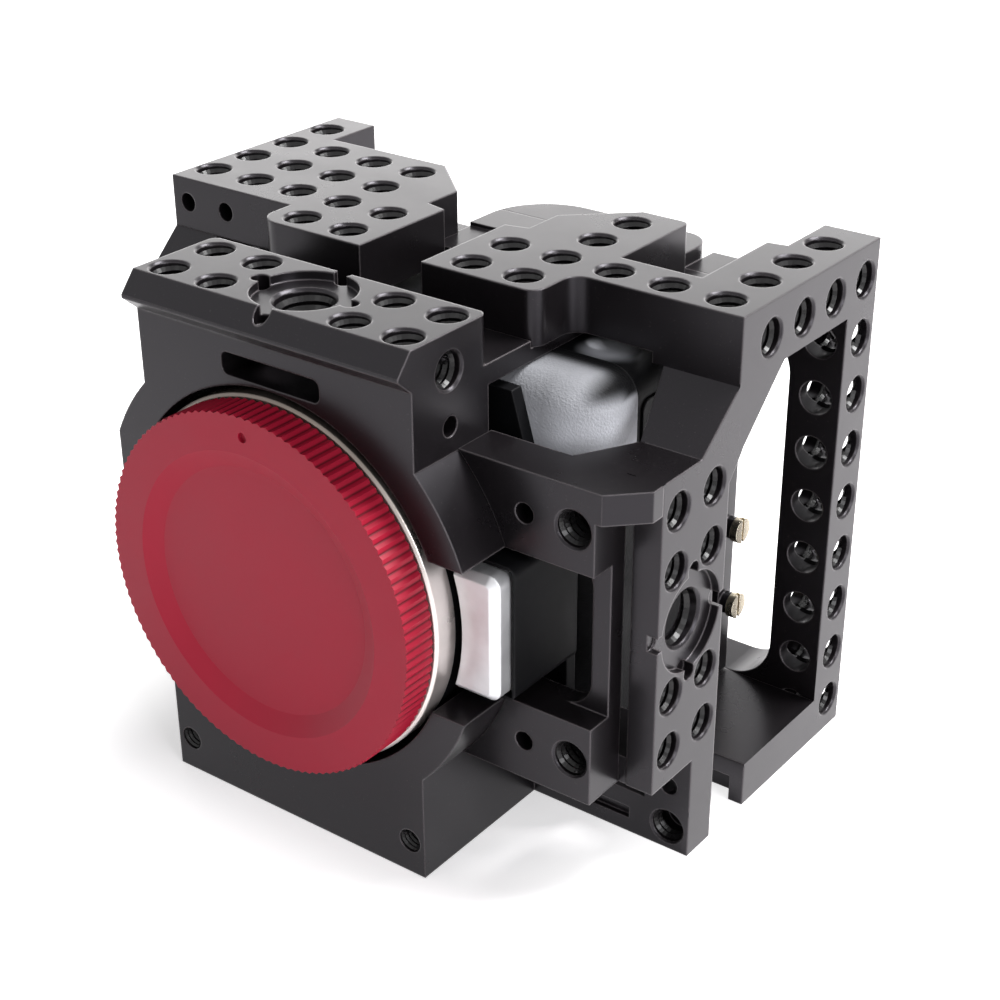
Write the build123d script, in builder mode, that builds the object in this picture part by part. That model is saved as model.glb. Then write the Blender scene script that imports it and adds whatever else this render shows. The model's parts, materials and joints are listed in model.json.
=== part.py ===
from build123d import *
import math
import os

os.makedirs("parts", exist_ok=True)

# ---------------------------------------------------------------- driving dimensions (mm)
# Frame: +Z up, X to the cage's right seen from the lens side, -Y out of the lens.
# The origin is the mouth of the tripod thread in the middle of the base.
lens_height = 46.0         # lens axis above the base
head_room = 46.0           # top face above the lens axis
cage_right = 58.5          # outer face of the right-hand side
cage_left = -56.2          # outer face of the left-hand side
cage_back = 48.1           # rear face

front_y = -33.2            # front face of the lens frame
frame_back = -15.4         # rear face of the lens frame
block_half = 27.5          # half width of the lens frame's block
block_corner = 1.6         # rounded rear corners above the arms
collar_radius = 38.4       # collar round the mount opening
collar_left = -34.7
collar_right = 36.1
opening_radius = 32.5      # opening round the camera's mount
release_half = 13.2        # half height of the notch that bares the release button

lip_reach = 2.9            # dovetail lip in front of the front face
lip_drop = 3.4             # from the top face to the lip's nose
lip_nose = 0.6
lip_undercut = 2.5

slot_length = 19.8         # strap slot in the lens frame
slot_width = 3.8
slot_corner = 1.3
slot_web = 0.5             # metal between the slot and the mount opening

plate_thick = 11.0         # top plates
deck_drop = 9.2            # from the top face down to the deck
hump_rise = 2.5            # rounded hump above the deck
hump_step = 0.7            # from the hump down to the land in front of it
floor_thick = 8.3          # base plate
wall_thick = 9.5           # rear wall
skin_thick = 4.9           # side strips

# hole grid
pitch = 10.0
first_hole_x = 12.6
first_hole_y = 0.0
bar_hole_edge = 5.9        # from the right-hand side in to the line along the bar
hole_margin = 4.5          # least distance from a hole to the end of its row
front_hole_y = -24.6       # middle of the front group of top holes
quarter_radius = 2.95      # 1/4-20 thread with its clearance
quarter_lead = 0.35        # countersink round each thread
quarter_depth = 8.0
three_eighths_radius = 4.7
three_eighths_lead = 0.45
twist_radius = 8.3         # flat recess of an anti-twist mount
twist_depth = 1.5
twist_notch = 1.45         # locating notches on the recess's rim
twist_notch_ring = 9.0
twist_notch_depth = 3.0
strip_notch_depth = 1.9
small_radius = 1.65        # M4 tapping size
m5_radius = 2.1            # M5 tapping size

# top plates
tongue_front = -4.7
tongue_half = 28.4
key_half = 6.3             # gap between the plates over the shoe
key_back = 17.0
key_wide = 10.5
key_wide_back = 25.9
key_flare = 21.0
key_flare_back = 35.8
mid_right = 30.2           # right edge of the middle of the right plate
bar_front = 5.2
bar_back = 15.4
bar_inner = 45.0
bar_step_inner = 48.4      # inner edge of the bar behind its step
bar_step_back = 35.2
bar_root = 43.0            # the bar is thicker than the plate from here out
left_front = 3.4
tab_inner = -47.2
tab_back = 47.3

# wing on the right of the lens frame
wing_front = -22.9
wing_web_front = -18.2
wing_back = -14.8
wing_right = 52.1
wing_half = 27.0           # half height about the lens axis
wing_window_right = 48.9
wing_window_left = 30.0
wing_window_corner = 5.0
flange_thick = 5.0
wing_hole_x = 48.3
wing_small_x = 39.65
wing_hole_rise = 20.0
foot_inner = 43.5          # foot behind the wing's lower flange
foot_screw_x = 46.5

# right side strip
strip_front = -15.0
strip_back = 3.6
strip_hole_y = -5.6        # middle of its two columns of holes
strip_hole_rows = (11.0, 21.0)
leg_front = -3.3
leg_inner = 49.9
leg_hole_x = 54.4
leg_hole_depth = 5.0
leg_small_rise = 4.1       # small hole above the base plate
link_inner = 48.3          # thick link from the strip up to the bar
link_front = -4.8
link_back = 18.4
link_heel = 7.3
gusset_inner = 42.4
gusset_back = -3.9
bay_inner = 44.0           # notch of the base between the leg and the base bar
bay_front = 14.3
bay_relief_back = 17.0
bay_relief_right = 55.8
bay_relief_high = 4.8

# rear wall
window_left = -46.9
window_right = 48.9
window_corner = 8.5
window_step_x = -3.0       # the window is higher to the right of here
window_step_corner = 3.0
window_low_drop = 12.3     # from the deck down to the window's lower top edge
window_high_drop = 5.8
left_rail_drop = 6.3       # the left rail is lower than the deck
column_x = 54.0
left_column_x = -51.8
column_side_y = 44.0
column_side_count = 4
column_first = 6.0
hump_left = -11.0
hump_right = 27.6
hump_front = 30.0
hump_corner_left = 12.0
hump_corner_right = 5.0
deck_front = 19.0
deck_rib_front = 30.5
deck_screw_drop = 2.2

# camera held in the cage
camera_left = -45.0
camera_right = 42.0
camera_front = -9.0
camera_back = 28.0
camera_gap = 2.6           # from the deck down to the camera's top
camera_corner = 9.0
camera_corner_back = 6.0
camera_edge = 5.0
shell_seam = 3.2           # grained front shell ahead of it, black body behind
chamber_depth = 10.0
camera_pad = 5.5           # side door in from the camera's base and top
seat_gap = 0.1             # between the camera and what holds it
cover_thick = 2.4
cover_left = -36.0
cover_right = 39.5
cover_low = -29.0          # edges of the front cover from the lens axis
cover_high = 28.0
cover_top = 32.5
door_proud = 0.4
boss_radius = 31.0
boss_front = -29.0
throat_radius = 23.05
ring_radius = 31.3
ring_front = -33.5
claw_radius = 20.9
claw_thick = 1.4
claw_set = 0.8             # claws sit this far behind the ring's front face
claw_angle = 52.0
claw_count = 3
lug_thick = 1.3
lug_play = 0.2
lug_radius = 22.7
lug_tube = 20.6
lug_tube_inner = 18.4
sensor_wide = 36.0
sensor_high = 28.0
sensor_open_wide = 25.0
sensor_open_high = 17.0
sensor_frame_thick = 3.0
sensor_glass_thick = 0.8
sensor_glass_gap = 0.2
screen_wide = 66.0
screen_high = 46.0
screen_thick = 2.2
screen_mid_x = 2.0

# buttons beside the screen
key_button_x = -35.5
key_button_wide = 5.0
key_button_high = 3.4
key_button_corner = 1.2
key_button_proud = 0.9
key_button_depth = 1.6
key_button_travel = 0.5
key_button_steps = (-15.0, -5.0, 5.0, 15.0)
key_button_play = 0.2

# body cap
cap_radius = 30.8
cap_front = -39.8
cap_back = -33.75
cap_teeth = 120
cap_tooth_depth = 0.35
cap_land = 24.4            # inner radius of the flat rim of its face
cap_floor = 21.2           # radius of the sunk disc
cap_sink = 1.7
cap_wall = 1.8
cap_mark_radius = 27.4
cap_mark = 0.85

# lens release button and lock pin
button_clear = 32.55       # radius of its hollow edge about the lens axis
button_right = 38.9
button_half = 10.8
button_front = -29.0
button_depth = 5.2
button_travel = 1.5
button_round = 2.0
button_bevel = 1.2
bezel_front = -25.4
bezel_rim = 0.6
running = 0.25             # running clearance round sliding pieces
pin_radius = 1.1
pin_play = 0.08
pin_place = 26.9
pin_reach = 1.0

# screws
m3_radius = 1.5
m3_head = 2.75
m3_head_high = 2.4
m3_sink = 0.6              # heads sit this far below their face
m25_radius = 1.25
m25_head = 2.2
m25_head_high = 2.0
shank_play = 0.05
foot_screw_long = 11.0
rear_screw_long = 12.0
deck_screw_long = 11.0
bridge_screw_grip = 4.5    # thread in the top plates
thread_spare = 1.0         # tapped beyond the end of a screw
head_play = 0.2

# cable clamp
clamp_face = 40.2
clamp_post_thick = 3.7
clamp_jaw_thick = 1.8
clamp_front = 34.4
clamp_back = 38.6
clamp_high = 50.7
clamp_heights = (23.5, 38.6)
clamp_collar = 2.0
clamp_collar_high = 1.6
clamp_head = 2.3
clamp_head_high = 1.4
clamp_slot = 0.7

# tie-down screw under the camera
tie_y = 18.0
tie_seat = 4.3             # depth of its counterbore
tie_head = 6.4
tie_head_high = 3.0
tie_washer_thick = 0.5
tie_reach = 5.0            # thread in the camera's tripod socket

# heights and faces that follow from the sizes above
cage_height = lens_height + head_room
base_top = floor_thick
top_under = cage_height - plate_thick
deck_top = cage_height - deck_drop
hump_top = deck_top + hump_rise
camera_top = deck_top - camera_gap
arm_low = camera_top + 0.4
window_low_top = deck_top - window_low_drop
window_high_top = deck_top - window_high_drop
left_rail_top = deck_top - left_rail_drop
slot_height = lens_height + opening_radius + slot_web + slot_width / 2
wing_low = lens_height - wing_half
wing_high = lens_height + wing_half
strip_inner = cage_right - skin_thick
left_inner = cage_left + skin_thick
wall_front = cage_back - wall_thick
ring_back = boss_front
screen_mid_z = (base_top + camera_top) / 2
sensor_back = camera_front + chamber_depth
sensor_front = sensor_back - sensor_frame_thick
column_count = int((top_under - column_first - 4) / pitch) + 1
column_rows = [column_first + pitch * i for i in range(column_count)]


# ---------------------------------------------------------------- helpers
def front_plane(y):
    """Sketch plane square to the lens axis, X across and Z up, at depth y."""
    return Plane.XZ.offset(-y)


def side_plane(x):
    """Sketch plane square to X, Y across and Z up."""
    return Plane.YZ.offset(x)


def level(z):
    """Sketch plane square to Z."""
    return Plane.XY.offset(z)


def facing(points, direction):
    """Locations whose Z looks out of the metal along direction."""
    return [Plane(origin=point, z_dir=direction).location for point in points]


def outline(points, mode=Mode.ADD):
    """Closed face through the points, inside a sketch."""
    Polygon(*points, align=None, mode=mode)


def box_face(x0, x1, y0, y1, mode=Mode.ADD):
    """Rectangle between two corners of the sketch plane."""
    with Locations(((x0 + x1) / 2, (y0 + y1) / 2)):
        Rectangle(x1 - x0, y1 - y0, mode=mode)


def row(first, last):
    """Hole centres one pitch apart, from first as far as they reach before last."""
    return [first + pitch * i for i in range(int((last - first) / pitch) + 1)]


def drill_quarter(points, direction, depth=quarter_depth):
    """1/4-20 holes with their lead-in countersinks, inside a BuildPart."""
    with Locations(*facing(points, direction)):
        CounterSinkHole(quarter_radius, quarter_radius + quarter_lead, depth, 90)


def drill_plain(points, direction, radius, depth):
    """Plain round holes, inside a BuildPart."""
    with Locations(*facing(points, direction)):
        Hole(radius, depth)


def drill_anti_twist(point, direction, depth, notch_depth=twist_notch_depth):
    """3/8-16 hole in a flat recess whose rim carries four locating notches."""
    place = Plane(origin=point, z_dir=direction)
    with BuildSketch(place) as recess:
        Circle(twist_radius)
    extrude(recess.sketch, amount=-twist_depth, mode=Mode.SUBTRACT)
    with BuildSketch(place) as notches:
        with PolarLocations(twist_notch_ring, 4):
            Circle(twist_notch)
    extrude(notches.sketch, amount=-notch_depth, mode=Mode.SUBTRACT)
    with Locations(place.offset(-twist_depth).location):
        CounterSinkHole(three_eighths_radius, three_eighths_radius + three_eighths_lead, depth, 90)


def save(piece, name):
    """Label a finished piece and write it as its own STEP file."""
    piece.part.label = name
    export_step(piece.part, f"parts/{name}.step")


def mirrored(points):
    """The same outline on the other side of the lens axis."""
    return [(-x, y) for x, y in points]


def screw(place, shank, length, head, head_high):
    """Cap screw, head upward along the place's Z, seat at its origin."""
    with BuildSketch(place) as head_end:
        Circle(head)
    extrude(head_end.sketch, amount=head_high)
    with BuildSketch(place) as shank_end:
        Circle(shank)
    extrude(shank_end.sketch, amount=-length)


def flat_screw(place, shank, length, head):
    """Countersunk screw whose flat top is at the place's origin."""
    with Locations(place.location):
        Cone(head, shank, head - shank, align=(Align.CENTER, Align.CENTER, Align.MIN))
        Cylinder(shank, length, align=(Align.CENTER, Align.CENTER, Align.MIN))


def hump_plan(plan):
    """Plan of the rounded hump that spans the deck and the rear wall, inside the sketch plan."""
    box_face(hump_left, hump_right, hump_front, cage_back)
    fillet(plan.vertices().sort_by_distance((hump_left, cage_back))[0], hump_corner_left)
    fillet(plan.vertices().sort_by_distance((hump_right, cage_back))[0], hump_corner_right)


# ---------------------------------------------------------------- lens frame
arm_inner = 14.0           # arms under the top plates, |X| from here out
arm_back = 12.0
arm_rise = 1.2             # the arms stand up in front of the plates' tongues
lug_inner = 14.0           # lugs on the base plate
lug_back = -9.4
lug_high = 16.0
front_hole_x = (13.3, 23.3)
side_hole_drop = 6.0       # from the top face down to the holes in the sides
side_hole_depth = 5.0
side_small_drop = 14.8
low_hole_x = 24.5
low_hole_z = 6.1
bridge_screw = (first_hole_x + pitch / 2, first_hole_y + pitch / 2)
foot_screw = (20.0, lug_back - 2.6)

with BuildPart() as front_frame:
    with BuildSketch(front_plane(front_y)):
        with Locations((0, lens_height)):
            Circle(collar_radius)
        box_face(collar_left, collar_right, 0, cage_height, Mode.INTERSECT)
        box_face(-block_half, block_half, 0, cage_height)
    extrude(amount=front_y - frame_back)
    # dovetail lip along the top front edge
    lip_low = cage_height - lip_drop - lip_nose - lip_undercut
    with BuildSketch(side_plane(0)):
        outline([
            (front_y + 1, cage_height),
            (front_y, cage_height),
            (front_y - lip_reach, cage_height - lip_drop),
            (front_y - lip_reach, cage_height - lip_drop - lip_nose),
            (front_y, lip_low),
            (front_y + 1, lip_low),
        ])
    extrude(amount=block_half, both=True)
    # arms under the top plates, and lugs on the base plate
    for side in (-1, 1):
        with BuildSketch(level(arm_low)):
            with Locations((side * (arm_inner + block_half) / 2, (frame_back + arm_back) / 2)):
                Rectangle(block_half - arm_inner, arm_back - frame_back)
        extrude(amount=deck_top - arm_low)
        with BuildSketch(level(deck_top)):
            with Locations((side * (arm_inner + block_half) / 2, (frame_back + tongue_front) / 2)):
                Rectangle(block_half - arm_inner, tongue_front - frame_back)
        extrude(amount=arm_rise)
        with BuildSketch(level(base_top)):
            with Locations((side * (lug_inner + block_half) / 2, (frame_back + lug_back) / 2)):
                Rectangle(block_half - lug_inner, lug_back - frame_back)
        extrude(amount=lug_high - base_top)
    rear_corners = [
        edge
        for edge in front_frame.edges().filter_by(Axis.Z)
        if abs(edge.center().Y - frame_back) < 0.01
        and abs(abs(edge.center().X) - block_half) < 0.01
        and edge.center().Z > deck_top + arm_rise
    ]
    fillet(rear_corners, block_corner)
    # mount opening, release notch and strap slot
    with BuildSketch(front_plane(front_y)):
        with Locations((0, lens_height)):
            Circle(opening_radius)
        box_face(block_half - 2, collar_radius + 5, lens_height - release_half, lens_height + release_half)
        with Locations((0, slot_height)):
            RectangleRounded(slot_length, slot_width, slot_corner)
    extrude(amount=front_y - frame_back, mode=Mode.SUBTRACT)
    # accessory threads on top, at the sides and low on the front
    rows = (front_hole_y - pitch / 2, front_hole_y + pitch / 2)
    top_holes = [(s * x, y, cage_height) for s in (-1, 1) for x in front_hole_x for y in rows]
    drill_quarter(top_holes, (0, 0, 1))
    drill_anti_twist((0, front_hole_y, cage_height), (0, 0, 1), cage_height - twist_depth - slot_height)
    for side in (-1, 1):
        face = side * block_half
        drill_quarter([(face, front_hole_y, cage_height - side_hole_drop)], (side, 0, 0))
        drill_plain([(face, front_hole_y, cage_height - side_small_drop)], (side, 0, 0), small_radius, 5)
        drill_plain([(side * low_hole_x, front_y, low_hole_z)], (0, -1, 0), m5_radius, 10)
        with Locations(*facing([(side * bridge_screw[0], bridge_screw[1], arm_low)], (0, 0, -1))):
            CounterSinkHole(m3_radius, m3_head + head_play, deck_top - arm_low, 90)
        foot = (side * foot_screw[0], foot_screw[1], base_top)
        drill_plain([foot], (0, 0, -1), m3_radius, lug_high - base_top - thread_spare)
save(front_frame, "front_frame")

# ---------------------------------------------------------------- right wing
with BuildPart() as wing_plate:
    with BuildSketch(front_plane(wing_front)):
        box_face(block_half, wing_right, wing_low, wing_high)
    extrude(amount=wing_front - wing_back)
    with BuildSketch(level(wing_high)):
        outline([
            (block_half, wing_front),
            (strip_inner - 0.4, wing_front),
            (cage_right, wing_front + skin_thick + 0.4),
            (cage_right, strip_front),
            (block_half, strip_front),
        ])
    extrude(amount=-flange_thick)
    # channel and window that clear the release button
    with BuildSketch(front_plane(wing_front)):
        box_face(block_half, wing_right, lens_height - release_half, lens_height + release_half)
    extrude(amount=wing_front - wing_web_front, mode=Mode.SUBTRACT)
    with BuildSketch(front_plane(wing_web_front)):
        with Locations(((wing_window_left + wing_window_right) / 2, lens_height)):
            RectangleRounded(wing_window_right - wing_window_left, 2 * release_half, wing_window_corner)
    extrude(amount=wing_web_front - wing_back, mode=Mode.SUBTRACT)
    for rise in (-wing_hole_rise, wing_hole_rise):
        drill_quarter([(wing_hole_x, wing_front, lens_height + rise)], (0, -1, 0))
        drill_plain([(wing_small_x, wing_front, lens_height + rise)], (0, -1, 0), small_radius, 6)
    foot_screw_z = wing_low + flange_thick / 2
    drill_plain([(foot_screw_x, wing_back, foot_screw_z)], (0, 1, 0), m25_radius, 6)
    # fits round the collar of the lens frame
    with BuildSketch(front_plane(wing_front)):
        with Locations((0, lens_height)):
            Circle(collar_radius + shank_play)
    extrude(amount=wing_front - wing_back, mode=Mode.SUBTRACT)
save(wing_plate, "wing_plate")

# ---------------------------------------------------------------- right side: strip, link and leg
with BuildPart() as side_frame:
    with BuildSketch(side_plane(strip_inner)):
        outline([
            (strip_front, wing_low),
            (strip_front, wing_high),
            (link_front, wing_high),
            (bar_front, top_under),
            (link_back, top_under),
            (link_heel, wing_high - 2.5),
            (strip_back + 1.9, wing_high - flange_thick),
            (strip_back, wing_high - 7.2),
            (strip_back, base_top),
            (leg_front, base_top),
            (leg_front, wing_low),
        ])
    extrude(amount=skin_thick)
    # thicker link up to the bar
    with BuildSketch(side_plane(link_inner)):
        outline([
            (link_front, wing_high - flange_thick),
            (link_front, wing_high),
            (bar_front, top_under),
            (link_back, top_under),
            (link_heel, wing_high - 2.5),
            (strip_back + 1.9, wing_high - flange_thick),
        ])
    extrude(amount=strip_inner - link_inner)
    # gusset behind the wing's upper flange
    with BuildSketch(level(wing_high)):
        outline([
            (gusset_inner, wing_back),
            (link_inner, gusset_back),
            (strip_inner, gusset_back),
            (strip_inner, wing_back),
        ])
    extrude(amount=-flange_thick)
    # thicker leg, and the foot that meets the back of the wing
    with BuildSketch(side_plane(leg_inner)):
        box_face(leg_front, strip_back, base_top, wing_low + flange_thick)
    extrude(amount=strip_inner - leg_inner)
    with BuildSketch(level(wing_low)):
        box_face(foot_inner, strip_inner, wing_back, leg_front)
    extrude(amount=flange_thick)
    rises = [s * r for s in (-1, 1) for r in strip_hole_rows]
    columns = (strip_hole_y - pitch / 2, strip_hole_y + pitch / 2)
    strip_holes = [(cage_right, y, lens_height + r) for y in columns for r in rises]
    drill_quarter(strip_holes, (1, 0, 0), skin_thick)
    strip_middle = (cage_right, strip_hole_y, lens_height)
    drill_anti_twist(strip_middle, (1, 0, 0), skin_thick, strip_notch_depth)
    leg_small = (leg_hole_x, leg_front, base_top + leg_small_rise)
    drill_plain([leg_small], (0, -1, 0), small_radius, strip_back - leg_front)
    drill_plain([(foot_screw_x, wing_back, foot_screw_z)], (0, -1, 0), m25_radius, leg_front - wing_back)
save(side_frame, "side_frame")

# ---------------------------------------------------------------- top plates
key_edge = [
    (key_half, tongue_front),
    (key_half, key_back),
    (key_wide, key_back + 1),
    (key_wide, key_wide_back),
    (key_flare, key_flare_back),
]

with BuildPart() as right_top_plate:
    with BuildSketch(level(top_under)) as right_outline:
        outline([
            *key_edge,
            (mid_right, key_flare_back),
            (mid_right, bar_back),
            (bar_inner, bar_back),
            (bar_inner, bar_step_back),
            (bar_step_inner, bar_step_back + 0.6),
            (bar_step_inner, cage_back),
            (cage_right, cage_back),
            (cage_right, bar_front),
            (tongue_half, bar_front),
            (tongue_half, tongue_front),
        ])
        fillet(right_outline.vertices().sort_by_distance((tongue_half, bar_front))[0], 3)
        fillet(right_outline.vertices().sort_by_distance((tongue_half, tongue_front))[0], 2.5)
        fillet(right_outline.vertices().sort_by_distance((mid_right, key_flare_back))[0], 1.5)
    extrude(amount=plate_thick)
    # relief over the deck and the lens frame's arm
    with BuildSketch(level(top_under)):
        box_face(0, bar_root, tongue_front - 1, cage_back)
    extrude(amount=deck_top - top_under, mode=Mode.SUBTRACT)
    bar_hole_x = cage_right - bar_hole_edge
    second_row = first_hole_y + pitch
    holes = [(first_hole_x, first_hole_y), (first_hole_x, second_row)]
    holes += [(first_hole_x + pitch, y) for y in row(first_hole_y, key_flare_back - hole_margin)]
    holes += [(x, second_row) for x in row(first_hole_x + 2 * pitch, bar_hole_x - 2 * hole_margin)]
    holes += [(bar_hole_x, y) for y in row(second_row, cage_back - hole_margin)]
    drill_quarter([(x, y, cage_height) for x, y in holes], (0, 0, 1), plate_thick)
    side_holes = [(cage_right, column_side_y - pitch * i, cage_height - side_hole_drop) for i in range(column_side_count)]
    drill_quarter(side_holes, (1, 0, 0), side_hole_depth)
    drill_plain([(*bridge_screw, deck_top)], (0, 0, -1), m3_radius, bridge_screw_grip + thread_spare)
save(right_top_plate, "right_top_plate")

left_small_drop = 4.4
left_small_x = (-52.8, -43.8)
with BuildPart() as left_top_plate:
    with BuildSketch(level(deck_top)) as left_outline:
        outline([
            *mirrored(key_edge),
            (tab_inner, key_flare_back),
            (tab_inner, tab_back),
            (cage_left, tab_back),
            (cage_left, left_front),
            (-tongue_half, left_front),
            (-tongue_half, tongue_front),
        ])
        fillet(left_outline.vertices().sort_by_distance((-tongue_half, tongue_front))[0], 4)
    extrude(amount=cage_height - deck_top)
    holes = [(-first_hole_x - pitch * i, first_hole_y + pitch) for i in range(5)]
    holes += [(-first_hole_x - pitch * i, first_hole_y + pitch * j) for i in (1, 2, 3, 4) for j in (2, 3)]
    holes += [(-first_hole_x - 4 * pitch, first_hole_y + 4 * pitch)]
    holes += [(-first_hole_x - pitch * i, first_hole_y) for i in (0, 1)]
    drill_quarter([(x, y, cage_height) for x, y in holes], (0, 0, 1), deck_drop)
    front_small = [(x, left_front, cage_height - left_small_drop) for x in left_small_x]
    drill_plain(front_small, (0, -1, 0), small_radius, 3)
    left_bridge = (-bridge_screw[0], bridge_screw[1], deck_top)
    drill_plain([left_bridge], (0, 0, -1), m3_radius, bridge_screw_grip + thread_spare)
save(left_top_plate, "left_top_plate")

# ---------------------------------------------------------------- deck behind the plates
rear_screw_x = (-30.0, 30.0)
deck_screw_x = (5.0, 20.0)
deck_screw_z = deck_top - deck_screw_drop
with BuildPart() as top_deck:
    deck_right = bar_inner - shank_play
    with BuildSketch(level(arm_low)):
        box_face(hump_left, deck_right, deck_front, wall_front)
    extrude(amount=deck_top - arm_low)
    # rib that takes the screws of the rear wall
    with BuildSketch(level(window_high_top)):
        box_face(hump_left, deck_right, deck_rib_front, wall_front)
    extrude(amount=deck_top - window_high_top)
    # front part of the rounded hump, fitted round the plates
    with BuildSketch(level(deck_top)) as deck_hump:
        hump_plan(deck_hump)
        box_face(hump_left - 1, hump_right + 1, wall_front, cage_back + 1, Mode.SUBTRACT)
        plate = [*key_edge, (tongue_half, key_flare_back), (tongue_half, tongue_front)]
        outline(plate, Mode.SUBTRACT)
        outline(mirrored(plate), Mode.SUBTRACT)
    extrude(amount=hump_rise)
    # lower land between the plates, in front of the hump
    with BuildSketch(level(deck_top)):
        box_face(hump_left, hump_right, deck_front, hump_front)
        outline(plate, Mode.SUBTRACT)
        outline(mirrored(plate), Mode.SUBTRACT)
    extrude(amount=hump_rise - hump_step)
    deck_points = [(x, wall_front, deck_screw_z) for x in deck_screw_x]
    drill_plain(deck_points, (0, 1, 0), m3_radius, 6)
save(top_deck, "top_deck")

# ---------------------------------------------------------------- rear wall
with BuildPart() as rear_frame:
    with BuildSketch(front_plane(wall_front)) as wall:
        outline([
            (cage_left, 0),
            (cage_left, deck_top),
            (tab_inner, deck_top),
            (tab_inner, left_rail_top),
            (hump_left, left_rail_top),
            (hump_right, left_rail_top),
            (hump_right, deck_top),
            (bar_step_inner, deck_top),
            (bar_step_inner, top_under),
            (cage_right, top_under),
            (cage_right, 0),
        ])
    extrude(amount=-wall_thick)
    with BuildSketch(level(left_rail_top)) as rail_hump:
        hump_plan(rail_hump)
        box_face(hump_left - 1, hump_right + 1, hump_front - 1, wall_front, Mode.SUBTRACT)
    extrude(amount=hump_top - left_rail_top)
    # window of the camera's screen, higher on the right
    with BuildSketch(front_plane(wall_front)) as window:
        outline([
            (window_left, floor_thick),
            (window_right, floor_thick),
            (window_right, window_high_top),
            (window_step_x, window_high_top),
            (window_step_x, window_low_top),
            (window_left, window_low_top),
        ])
        step = window.vertices().sort_by_distance((window_step_x, window_high_top))[0]
        fillet(step, window_step_corner)
        for corner in (
            (window_left, floor_thick),
            (window_right, floor_thick),
            (window_right, window_high_top),
            (window_left, window_low_top),
        ):
            fillet(window.vertices().sort_by_distance(corner)[0], window_corner)
    extrude(amount=-wall_thick, mode=Mode.SUBTRACT)
    side_points = [(cage_right, column_side_y, z) for z in column_rows]
    drill_quarter(side_points, (1, 0, 0), cage_right - window_right)
    columns = (left_column_x, column_x)
    drill_quarter([(x, cage_back, z) for x in columns for z in column_rows], (0, 1, 0), wall_thick)
    base_points = [(x, cage_back, floor_thick / 2) for x in rear_screw_x]
    deck_points = [(x, cage_back, deck_screw_z) for x in deck_screw_x]
    with Locations(*facing(base_points + deck_points, (0, 1, 0))):
        CounterBoreHole(m3_radius, m3_head + head_play, m3_head_high + m3_sink, wall_thick)
save(rear_frame, "rear_frame")

# ---------------------------------------------------------------- base plate
front_slot = (33.6, 47.0, 2.7, 4.9)
front_slot_depth = 1.0
base_hole_x = 20.0
base_hole_edge = 4.0       # from the bay in to the outer columns
with BuildPart() as base_plate:
    with BuildSketch(level(0)):
        outline([
            (-block_half, frame_back),
            (block_half, frame_back),
            (block_half, leg_front),
            (cage_right, leg_front),
            (cage_right, strip_back),
            (bay_inner, strip_back),
            (bay_inner, bay_front),
            (cage_right, bay_front),
            (cage_right, wall_front),
            (cage_left, wall_front),
            (cage_left, leg_front),
            (-block_half, leg_front),
        ])
    extrude(amount=floor_thick)
    # relief under the front edge of the base bar, and the slot in the front face
    with BuildSketch(level(0)):
        box_face(bay_inner, bay_relief_right, bay_front - 1, bay_relief_back)
    extrude(amount=bay_relief_high, mode=Mode.SUBTRACT)
    with BuildSketch(front_plane(leg_front)):
        box_face(*front_slot)
    extrude(amount=-front_slot_depth, mode=Mode.SUBTRACT)
    drill_quarter([(leg_hole_x, leg_front, floor_thick / 2)], (0, -1, 0), leg_hole_depth)
    drill_plain([(0, 0, 0)], (0, 0, -1), three_eighths_radius, floor_thick)
    base_columns = (base_hole_x, bay_inner - base_hole_edge)
    base_holes = [(s * x, y) for s in (-1, 1) for x in base_columns for y in (pitch, 3 * pitch)]
    drill_quarter([(x, y, 0) for x, y in base_holes], (0, 0, -1), floor_thick)
    with Locations(*facing([(0, tie_y, 0)], (0, 0, -1))):
        CounterBoreHole(quarter_radius + 0.3, tie_head + head_play, tie_seat, floor_thick)
    feet = [(s * foot_screw[0], foot_screw[1], 0) for s in (-1, 1)]
    with Locations(*facing(feet, (0, 0, -1))):
        CounterBoreHole(m3_radius, m3_head + head_play, m3_head_high + m3_sink, floor_thick)
    rear_points = [(x, wall_front, floor_thick / 2) for x in rear_screw_x]
    rear_depth = rear_screw_long - wall_thick + m3_head_high + m3_sink + thread_spare
    drill_plain(rear_points, (0, 1, 0), m3_radius, rear_depth)
save(base_plate, "base_plate")

# ---------------------------------------------------------------- left side
left_link_inner = -46.5
left_link_low = deck_top - 10.8
left_ramp_low = deck_top - 6.2
side_window_front = 8.0
side_window_rim = 4.0      # metal behind the window
side_window_half = 23.0
with BuildPart() as left_side_plate:
    with BuildSketch(side_plane(cage_left)):
        outline([
            (leg_front, base_top),
            (leg_front, left_ramp_low),
            (left_front, deck_top),
            (wall_front, deck_top),
            (wall_front, base_top),
        ])
        window_wide = wall_front - side_window_rim - side_window_front
        with Locations((side_window_front + window_wide / 2, lens_height - 1)):
            RectangleRounded(window_wide, 2 * side_window_half, window_corner, mode=Mode.SUBTRACT)
    extrude(amount=skin_thick)
    # thicker link up to the left plate
    with BuildSketch(side_plane(left_inner)):
        outline([
            (leg_front, left_link_low),
            (leg_front, left_ramp_low),
            (left_front, deck_top),
            (left_front + 13.6, deck_top),
            (left_front + 2.6, left_link_low),
        ])
    extrude(amount=left_link_inner - left_inner)
    left_rows = [(cage_left, 2.0, z) for z in column_rows[1:-1]]
    drill_quarter(left_rows, (-1, 0, 0), skin_thick)
save(left_side_plate, "left_side_plate")

# ---------------------------------------------------------------- screws of the cage
with BuildPart() as foot_screws:
    for side in (-1, 1):
        seat = Plane(origin=(side * foot_screw[0], foot_screw[1], m3_head_high + m3_sink), z_dir=(0, 0, -1))
        screw(seat, m3_radius - shank_play, foot_screw_long, m3_head, m3_head_high)
save(foot_screws, "foot_screws")

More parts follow.
